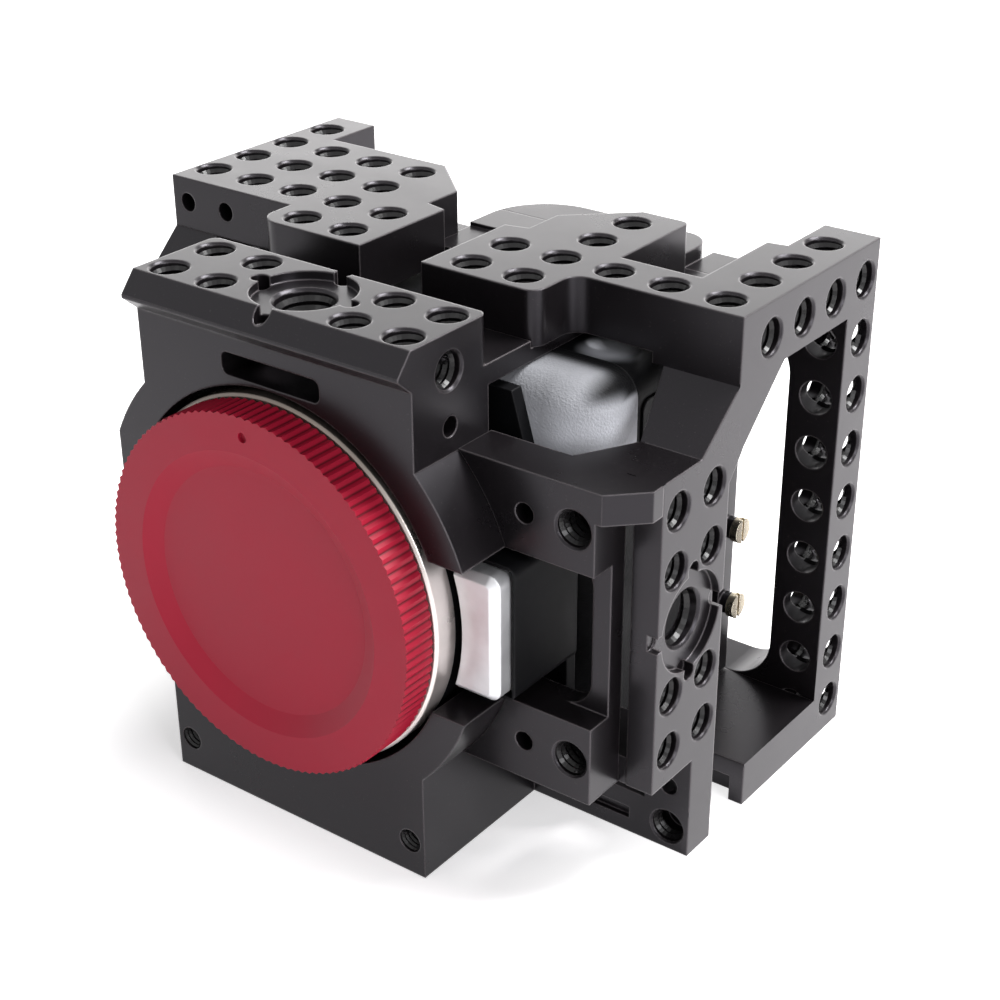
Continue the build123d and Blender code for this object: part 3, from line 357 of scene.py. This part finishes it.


# %% [markdown]
# The shell is grey on its shoulder, above the lens frame's wing, and black below it. A painted
# shadow, a soft black band, closes the grey off towards the rear, painted shade darkens its right
# upper corner and its grey towards the top, and a painted pool of light puts one grey spot on the
# black top behind it.

# %% Two-tone shell
GREY_FROM = (0.0649, 0.0651)       # height where the grey begins
SHADOW_BAND_DEPTH = (-0.0016, 0.0016)      # depth of the painted shadow band that ends the grey
SHADOW_BAND_FROM = (0.0760, 0.0772)         # height from which the painted shadow band ends the grey
# painted shade: the grey's right upper corner darkens, and the grey darkens towards the top
SHADED_CORNER_X, SHADED_CORNER_Z = (0.037, 0.0405), (0.0755, 0.0785)
SHADE_FADING, SHADE_FADED = (0.0735, 0.0800), 0.36
# painted light: a grey spot on the black top where light falls through the gap above it
LIT_SPOT_MIDDLE, LIT_SPOT_EDGE, LIT_SPOT_SHARE = (0.0338, 0.0072, 0.0802), (0.0022, 0.0058), 0.95


def shoulder(tree):
    """1 on the black parts of the front shell and where painted shade darkens it, 0 on its grey
    shoulder.
    """
    x, y, z = split(tree, object_place(tree))
    # painted shadow: a soft black band ends the grey towards the rear
    before_shadow_band = math_node(
        tree, "MAXIMUM", ramp(tree, y, *SHADOW_BAND_DEPTH, 1.0, 0.0), ramp(tree, z, *SHADOW_BAND_FROM, 1.0, 0.0))
    grey = math_node(tree, "MULTIPLY", before_shadow_band, ramp(tree, z, *GREY_FROM))
    # painted shade on the right upper corner
    corner = math_node(tree, "MULTIPLY", ramp(tree, x, *SHADED_CORNER_X), ramp(tree, z, *SHADED_CORNER_Z))
    grey = math_node(tree, "MULTIPLY", grey, math_node(tree, "SUBTRACT", 1.0, corner))
    # painted shade: darker towards the top
    grey = math_node(tree, "MULTIPLY", grey, ramp(tree, z, *SHADE_FADING, 1.0, SHADE_FADED))
    return math_node(tree, "SUBTRACT", 1.0, grey)


def painted_light_spot(tree):
    """A painted pool of light: a soft grey spot on the camera's top, strongest in its middle."""
    away = vector_math(tree, "DISTANCE", object_place(tree), LIT_SPOT_MIDDLE, result="Value")
    return ramp(tree, away, *LIT_SPOT_EDGE, LIT_SPOT_SHARE, 0.0)


# painted shade over the grey shell: the shadow band, the dark corner and the darker top
paint_over(shell_grey, BLACK, shoulder)
# painted light: a grey spot on the camera's black top
paint_over(shell_black, (0.40, 0.41, 0.44), painted_light_spot)

# %% [markdown]
# The steel ring's upper arc sits under the collar, and painted shade darkens it there. The serrations
# of the red cap are deep and narrow, so hardly any light comes out of their bottoms again. Painted
# shade helps there: it is dark below a certain distance from the lens axis, and only on surfaces
# that face away from that axis.

# %% Painted shade on the arc and in the grooves
SHADE_ARC_HEIGHT, SHADE_ARC_SHARE = (0.058, 0.074), 0.85
LENS_AXIS_HEIGHT = 0.046
SKIRT, GROOVE, GROOVE_SHARE = (0.0298, 0.0300), (0.03046, 0.03059), 0.8
SIDEWAYS = (0.4, 0.6)


def shaded_arc(tree):
    """Painted shade: rises with the height on the mount's steel ring, under the collar."""
    x, y, z = split(tree, object_place(tree))
    return ramp(tree, z, *SHADE_ARC_HEIGHT, 0.0, SHADE_ARC_SHARE)


def grooves(tree):
    """Full at the bottom of the cap's serrations, and 0 on their lands and on its flat faces."""
    x, y, z = split(tree, object_place(tree))
    height = math_node(tree, "SUBTRACT", z, LENS_AXIS_HEIGHT)
    squares = [math_node(tree, "MULTIPLY", side, side) for side in (x, height)]
    reach = math_node(tree, "SQRT", math_node(tree, "ADD", *squares))
    ring = math_node(
        tree, "MULTIPLY", ramp(tree, reach, *SKIRT), ramp(tree, reach, *GROOVE, GROOVE_SHARE, 0.0))
    facing = split(tree, add(tree, "ShaderNodeNewGeometry").outputs["True Normal"])
    level = math_node(tree, "ABSOLUTE", facing[1])
    return math_node(tree, "MULTIPLY", ring, ramp(tree, level, *SIDEWAYS, 1.0, 0.0))


# painted shade: the ring's upper arc is darker under the collar
paint_over(mount_steel, (0.13, 0.105, 0.085), shaded_arc)
paint_over(cap_red, (0.05, 0.001, 0.004), grooves)

# %% [markdown]
# ## Dress the machined pieces
# Each machined piece already names a material slot, so one table from slots to finishes dresses
# them all. The keys on the camera's back share the shell's black.

# %% Dress the machined nodes
by_slot = {
    "anodised_black": anodised,
    "screw_steel": steel,
    "washer_nylon": nylon,
    "camera_grain": shell_grey,
    "camera_black": shell_black,
    "key_black": shell_black,
    "screen_gloss": gloss,
    "sensor_glass": sensor_coat,
    "mount_steel": mount_steel,
    "button_nickel": nickel,
    "cap_red": cap_red,
    "brass": brass,
}
slot_of = {part["node"]: part["material_slot"] for part in frame["record"]["subparts"]}
for name, node in nodes.items():
    node.data.materials.clear()
    node.data.materials.append(by_slot[slot_of[name]])
print("dressed", len(nodes), "nodes")

# %% [markdown]
# ## New pieces
# A new piece is made of two arrays, its points and its quads. It stands at the origin, unscaled,
# and rides on an empty named for one of the machined part's bodies, so that it moves with that empty.

# %% Piece helpers
def piece(name, points, faces):
    """Put arrays of points, in millimetres, and quads into a mesh object at the origin."""
    mesh = bpy.data.meshes.new(name)
    mesh.from_pydata((points * MM).tolist(), [], faces.tolist())
    mesh.update()
    mesh.validate()
    made = bpy.data.objects.new(name, mesh)
    scene.collection.objects.link(made)
    return made


def dress(made, body, material):
    """Let a piece ride on a body and give it a material."""
    made.data.materials.append(material)
    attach(made, body)
    print(made.name, "quads", len(made.data.polygons))


def square_to(axis):
    """Two directions square to an axis and to each other; the first is up, or right if it can't."""
    side = np.array([0.0, 0.0, 1.0]) if abs(axis[2]) < 0.5 else np.array([1.0, 0.0, 0.0])
    return side, np.cross(axis, side)


# %% [markdown]
# ## Thread ridges
# The machined holes are plain bores. A real tapped hole shows a fine helix that catches the light in
# bright crescents. The ridge is one surface: rows climb along the bore, one half pitch apart, and
# lie by turns on the bore and on the crest, while each row also climbs one pitch per turn. The end
# of a row is the start of the row two further on, so the helix closes on itself.

# %% Thread surface
SUNK = 0.03  # the ridges start this far inside the metal, so that no gap shows at their foot


def thread_rows(turns, segments):
    """Faces of the helical grid: rows x segments, closed by joining row k to row k + 2."""
    rows = 2 * turns
    height = rows + 3
    i, k = np.meshgrid(np.arange(segments), np.arange(rows), indexing="ij")
    wrap = (i + 1) // segments
    here = i * height + k
    there = ((i + 1) % segments) * height + k + 2 * wrap
    return np.stack([here, there, there + 1, here + 1], -1).reshape(-1, 4), height


def threads(name, holes, radius, pitch, crest, segments=24, start=0.4, crossing=()):
    """One mesh of thread ridges for many holes, each a mouth, a direction outwards and a depth.

    A point at angle a of row k lies at depth start + pitch * (k / 2 + a / turn) inwards from the
    hole's mouth, and at the bore's radius for even rows or crest less for odd rows. Ridges that
    would stand in a crossing bore, given by a point and an axis, are left out.
    """
    all_points, all_faces, count = [], [], 0
    angle = np.arange(segments)[:, None] * 2 * math.pi / segments
    for mouth, outwards, depth in holes:
        turns = max(1, int((depth - 2 * start) / pitch - 1))
        faces, height = thread_rows(turns, segments)
        row = np.arange(height)[None, :]
        inward = start + pitch * (row / 2 + angle / (2 * math.pi))
        reach = np.where(row % 2 == 0, radius + SUNK, radius - crest)
        axis = np.array(outwards, float)
        side, other = square_to(axis)
        points = (
            np.array(mouth, float)
            - axis * inward[..., None]
            + side * (reach * np.cos(angle))[..., None]
            + other * (reach * np.sin(angle))[..., None]
        ).reshape(-1, 3)
        middle = points[faces].mean(axis=1)
        for through, along in crossing:
            if abs(np.dot(along, axis)) < 0.5:
                away = np.linalg.norm(np.cross(middle - np.array(through, float), along), axis=1)
                faces, middle = faces[away > radius], middle[away > radius]
        all_points.append(points)
        all_faces.append(faces[:, ::-1] + count)
        count += len(points)
    return piece(name, np.concatenate(all_points), np.concatenate(all_faces))


trial_faces, trial_height = thread_rows(turns=2, segments=24)
print("two turns have", len(trial_faces), "quads in columns of", trial_height, "points")

# %% [markdown]
# Nearly all holes take a quarter-inch screw and stand on one 10 mm grid. A hole is the middle of its
# mouth, the direction out of it and the depth of metal there. In the rear wall the holes from behind
# and from the side cross, and light falls through them.

# %% Where the quarter-inch holes are
PITCH = 10.0
TOP, RIGHT, LEFT, REAR, LENS = 92.0, 58.5, -56.2, 48.1, 46.0
UP, DOWN = (0, 0, 1), (0, 0, -1)
OUT_RIGHT, OUT_LEFT, OUT_FRONT, OUT_BACK = (1, 0, 0), (-1, 0, 0), (0, -1, 0), (0, 1, 0)
BLOCK, PLATE, BAR, SKIN, BASE, WALL_SIDE, WALL = 8, 9.2, 5, 4.9, 8.3, 9.6, 7.5  # depths
PAIR = (-1, 1)

column = [6 + PITCH * i for i in range(8)]
front_holes = [((s * x, y, TOP), UP, BLOCK) for s in PAIR for x in (13.3, 23.3) for y in (-29.6, -19.6)]
front_holes += [((s * 27.5, -24.6, TOP - 6), (s, 0, 0), BLOCK) for s in PAIR]
right_xy = [(12.6, 0), (12.6, 10), (22.6, 0), (22.6, 10), (22.6, 20), (22.6, 30), (32.6, 10), (42.6, 10)]
right_xy += [(52.6, y) for y in (10, 20, 30, 40)]
right_holes = [((x, y, TOP), UP, PLATE) for x, y in right_xy]
right_holes += [((RIGHT, y, TOP - 6), OUT_RIGHT, BAR) for y in (14, 24, 34, 44)]
left_xy = [(-12.6 - PITCH * i, 10) for i in range(5)] + [(-12.6, 0), (-22.6, 0), (-52.6, 40)]
left_xy += [(-12.6 - PITCH * i, y) for i in (1, 2, 3, 4) for y in (20, 30)]
left_holes = [((x, y, TOP), UP, PLATE) for x, y in left_xy]
strip_holes = [((RIGHT, y, LENS + s * r), OUT_RIGHT, SKIN)
               for y in (-10.6, -0.6) for s in PAIR for r in (11, 21)]
wing_holes = [((48.3, -22.9, LENS + s * 20), OUT_FRONT, BLOCK) for s in PAIR]
rear_holes = [((RIGHT, 44, z), OUT_RIGHT, WALL_SIDE) for z in column]
rear_holes += [((x, REAR, z), OUT_BACK, WALL) for x in (54.0, -51.8) for z in column]
rear_crossing = [((RIGHT, 44, z), OUT_RIGHT) for z in column]
rear_crossing += [((54.0, REAR, z), OUT_BACK) for z in column]
base_holes = [((s * x, y, 0), DOWN, BASE) for s in PAIR for x in (20, 40) for y in (10, 30)]
base_holes += [((54.4, -3.3, 4.15), OUT_FRONT, BAR)]
side_holes = [((LEFT, 2, z), OUT_LEFT, SKIN) for z in column[1:-1]]
hole_groups = {
    "front": front_holes,
    "right_plate": right_holes,
    "left_plate": left_holes,
    "strip": strip_holes,
    "wing": wing_holes,
    "rear": rear_holes,
    "base": base_holes,
    "left_side": side_holes,
}
print("quarter-inch holes", {label: len(holes) for label, holes in hole_groups.items()})

# %% [markdown]
# Three large holes take the anti-twist mounts' and the tripod's coarser thread, and two small ones
# stand low on the front. All ridges have the colour of freshly cut and then anodised metal.

# %% Cut the threads
quarter = dict(radius=2.95, pitch=1.27, crest=0.42)
large = dict(radius=4.7, pitch=1.5875, crest=0.5, segments=32, start=0.5)
small = dict(radius=2.1, pitch=0.8, crest=0.28, segments=20, start=0.2)
large_holes = [
    ((0, -24.6, TOP - 1.5), UP, 7.9),
    ((RIGHT - 1.5, -5.6, LENS), OUT_RIGHT, 3.4),
    ((0, 0, 0), DOWN, BASE),
]
small_holes = [((s * 24.5, -33.2, 6.1), OUT_FRONT, 9) for s in PAIR]
for label, holes in hole_groups.items():
    crossing = rear_crossing if label == "rear" else ()
    made = threads("threads_" + label, holes, crossing=crossing, **quarter)
    dress(made, "cage", thread_metal)
dress(threads("threads_large", large_holes, **large), "cage", thread_metal)
dress(threads("threads_m5", small_holes, **small), "cage", thread_metal)

# %% [markdown]
# ## Screws with a key socket
# The cage is held together by small cap screws with a hexagon socket. Each is a turned outline, from
# the tip of its shank to the floor of its socket, and only the socket's rings are hexagons: at angle
# a, a hexagon is half its width across flats divided by the cosine of a folded into one side.

# %% Cap screws
SEGMENTS, CHAMFER, SOCKET_CHAMFER, SOCKET_DEPTH = 36, 0.25, 0.12, 1.3
M3 = dict(shank=1.45, head=2.75, high=2.4, key=2.5)


def socket_screw(seat, outwards, shank, length, head, high, key):
    """Points and quads of one cap screw, its head's seat at a point and its head outwards."""
    angle = np.arange(SEGMENTS) * 2 * math.pi / SEGMENTS
    sixth = math.pi / 3
    hexagon = key / 2 / np.cos((angle % sixth) - sixth / 2)
    tip = 0 * angle
    rings = [
        (-length, tip), (-length, shank - CHAMFER), (-length + CHAMFER, shank), (0, shank), (0, head),
        (high - CHAMFER, head), (high, head - CHAMFER), (high, hexagon + SOCKET_CHAMFER),
        (high - SOCKET_CHAMFER, hexagon), (high - SOCKET_DEPTH, hexagon), (high - SOCKET_DEPTH, tip),
    ]
    axis = np.array(outwards, float)
    side, other = square_to(axis)
    points = np.concatenate([
        np.array(seat, float) + axis * rise
        + (np.cos(angle) * reach)[:, None] * side + (np.sin(angle) * reach)[:, None] * other
        for rise, reach in rings
    ])
    i, k = np.meshgrid(np.arange(SEGMENTS), np.arange(len(rings) - 1), indexing="ij")
    here, there = k * SEGMENTS + i, k * SEGMENTS + (i + 1) % SEGMENTS
    faces = np.stack([here, there, there + SEGMENTS, here + SEGMENTS], -1).reshape(-1, 4)
    return points, faces


def cap_screws(name, node, screws):
    """One piece for the screws of a node, which it replaces."""
    parts = [socket_screw(**screw, **M3) for screw in screws]
    starts = np.cumsum([0] + [len(points) for points, _ in parts])
    points = np.concatenate([points for points, _ in parts])
    faces = np.concatenate([faces + start for (_, faces), start in zip(parts, starts)])
    made = piece(name, points, faces)
    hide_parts(node)
    dress(made, "cage", black_oxide)


cap_screws("rear_cap_screws", "rear_screws", [
    dict(seat=(x, REAR - 3.0, z), outwards=OUT_BACK, length=length)
    for z, length, places in ((4.15, 12, (-30, 30)), (80.6, 11, (5, 20))) for x in places
])
cap_screws("foot_cap_screws", "foot_screws", [
    dict(seat=(s * 20, -12, 3.0), outwards=DOWN, length=11) for s in PAIR
])

# %% [markdown]
# ## Web of the link
# The link that rises to the top bar is milled with a thin sloped web on its inner side. The web
# widens towards the bar, so that the link's inner edge ends in it without a notch.

# %% Sloped web
WEB_LOW, WEB_HIGH = (-4.8, 73.0), (5.2, 81.0)
WEB_INNER_LOW, WEB_INNER_HIGH, WEB_OUTER, WEB_THICK = 47.8, 45.1, 48.3, 2.0


def sloped_web(name):
    """A tapered slab under the slope from WEB_LOW to WEB_HIGH in (y, z), widest at its upper end.

    Its eight corners are all pairings of inner or outer side, low or high end, face or back: y and
    z follow the end, x follows the side and the end, and the back lies WEB_THICK lower.
    """
    side, end, under = np.meshgrid([0, 1], [0, 1], [0, 1], indexing="ij")
    inner = np.where(end == 1, WEB_INNER_HIGH, WEB_INNER_LOW)
    x = np.where(side == 1, WEB_OUTER, inner)
    y = np.where(end == 1, WEB_HIGH[0], WEB_LOW[0])
    z = np.where(end == 1, WEB_HIGH[1], WEB_LOW[1]) - under * WEB_THICK
    faces = [(0, 1, 3, 2), (4, 6, 7, 5), (0, 4, 5, 1), (2, 3, 7, 6), (0, 2, 6, 4), (1, 5, 7, 3)]
    return piece(name, np.stack([x, y, z], -1).reshape(-1, 3), np.array(faces))


dress(sloped_web("link_web"), "cage", anodised)

# %% [markdown]
# ## Floor
# The object stands on white paper, as for a cut-out picture. The paper is an ordinary matte surface
# that keeps the object's shadow, with a little glow that only the camera and reflections see. The
# camera sees it brighter still the further it is from the object's footprint, so that the shadow
# stays close to the object and the rest is clean white.

# %% Floor
FLOOR_HALF, FLOOR_BELOW = 4.0, 0.0002
PAPER, GLOW = (0.80, 0.78, 0.79, 1), 0.48
FOOT_MIDDLE, FOOT_HALF = (0.0012, 0.0040, 0.0), (0.0340, 0.0340, 1.0)
NEAR, NEAR_LIFT = (0.001, 0.024), 0.34
FAR, FAR_LIFT = (0.15, 1.00), 0.36

rim = np.array([(-1, -1), (1, -1), (1, 1), (-1, 1)]) * FLOOR_HALF
floor_mesh = bpy.data.meshes.new("floor")
floor_mesh.from_pydata([(x, y, -FLOOR_BELOW) for x, y in rim.tolist()], [], [(0, 1, 2, 3)])
floor = bpy.data.objects.new("floor", floor_mesh)
scene.collection.objects.link(floor)
paper = bpy.data.materials.new("floor_paper")
paper.use_nodes = True
tree = paper.node_tree
tree.nodes.clear()
path = add(tree, "ShaderNodeLightPath")
seen = math_node(tree, "MAXIMUM", path.outputs["Is Camera Ray"], path.outputs["Is Glossy Ray"])
offset = vector_math(tree, "ABSOLUTE", vector_math(tree, "SUBTRACT", object_place(tree), FOOT_MIDDLE))
outside = vector_math(tree, "MAXIMUM", vector_math(tree, "SUBTRACT", offset, FOOT_HALF), (0, 0, 0))
away = vector_math(tree, "LENGTH", outside, result="Value")
lifts = [ramp(tree, away, *NEAR, 0.0, NEAR_LIFT), ramp(tree, away, *FAR, 0.0, FAR_LIFT)]
lift = math_node(tree, "MULTIPLY", math_node(tree, "ADD", *lifts), path.outputs["Is Camera Ray"])
strength = math_node(tree, "ADD", math_node(tree, "MULTIPLY", seen, GLOW), lift)
matte = add(tree, "ShaderNodeBsdfDiffuse", {"Color": PAPER})
glow = add(tree, "ShaderNodeEmission", {"Color": (1, 1, 1, 1), "Strength": strength})
both = add(tree, "ShaderNodeAddShader", {0: matte.outputs[0], 1: glow.outputs[0]})
add(tree, "ShaderNodeOutputMaterial", {0: both.outputs[0]})
floor_mesh.materials.append(paper)
print("floor", 2 * FLOOR_HALF, "m wide")

# %% [markdown]
# ## World
# The camera, reflections and anything clear see pure white all round. A softer world lights the
# object, so that the lamps can shape it.

# %% World
ROOM_LIGHT = 0.30

world = bpy.data.worlds.new("studio")
scene.world = world
world.use_nodes = True
tree = world.node_tree
tree.nodes.clear()
path = add(tree, "ShaderNodeLightPath")
direct = math_node(tree, "MAXIMUM", path.outputs["Is Camera Ray"], path.outputs["Is Glossy Ray"])
direct = math_node(tree, "MAXIMUM", direct, path.outputs["Is Transmission Ray"])
strength = ramp(tree, direct, 0.0, 1.0, ROOM_LIGHT, 1.0)
sky = add(tree, "ShaderNodeBackground", {"Color": (1, 1, 1, 1), "Strength": strength})
add(tree, "ShaderNodeOutputWorld", {0: sky.outputs[0]})
print("world", world.name)

# %% [markdown]
# ## Lamps
# A wide, low lamp behind the object is mirrored by its top faces, as a window would be, and a small
# one beside it draws the back edges. One lamp above lights the camera in the cage and the floor
# beside it, one at the right lights the right faces, and a weak one fills the front.

# %% Lamps
def area_lamp(name, place, target, wide, high, power, colour=(1, 1, 1)):
    """A rectangular soft lamp at place, aimed at target."""
    data = bpy.data.lights.new(name, "AREA")
    data.shape = "RECTANGLE"
    data.size = wide
    data.size_y = high
    data.energy = power
    data.color = colour
    made = bpy.data.objects.new(name, data)
    made.location = place
    made.rotation_euler = (Vector(target) - Vector(place)).to_track_quat("-Z", "Y").to_euler()
    scene.collection.objects.link(made)


area_lamp("lamp_back", (-0.56, 1.05, 0.31), (0, 0, 0.08), 1.7, 0.5, 7.0, (1, 0.985, 0.975))
area_lamp("lamp_edge", (-0.24, 1.16, 0.46), (0, 0, 0.08), 0.3, 0.3, 0.5)
area_lamp("lamp_above", (0.26, 0.26, 0.60), (0.14, 0.12, 0), 0.3, 0.3, 9.4)
area_lamp("lamp_right", (0.90, -0.28, 0.42), (0, 0, 0.04), 0.45, 0.45, 5.5, (0.97, 0.97, 1))
area_lamp("lamp_front", (-0.25, -0.85, 0.55), (0, 0, 0.04), 0.5, 0.5, 0.8)
scene.view_settings.view_transform = "Standard"
print("lamps", [data.name for data in bpy.data.lights])
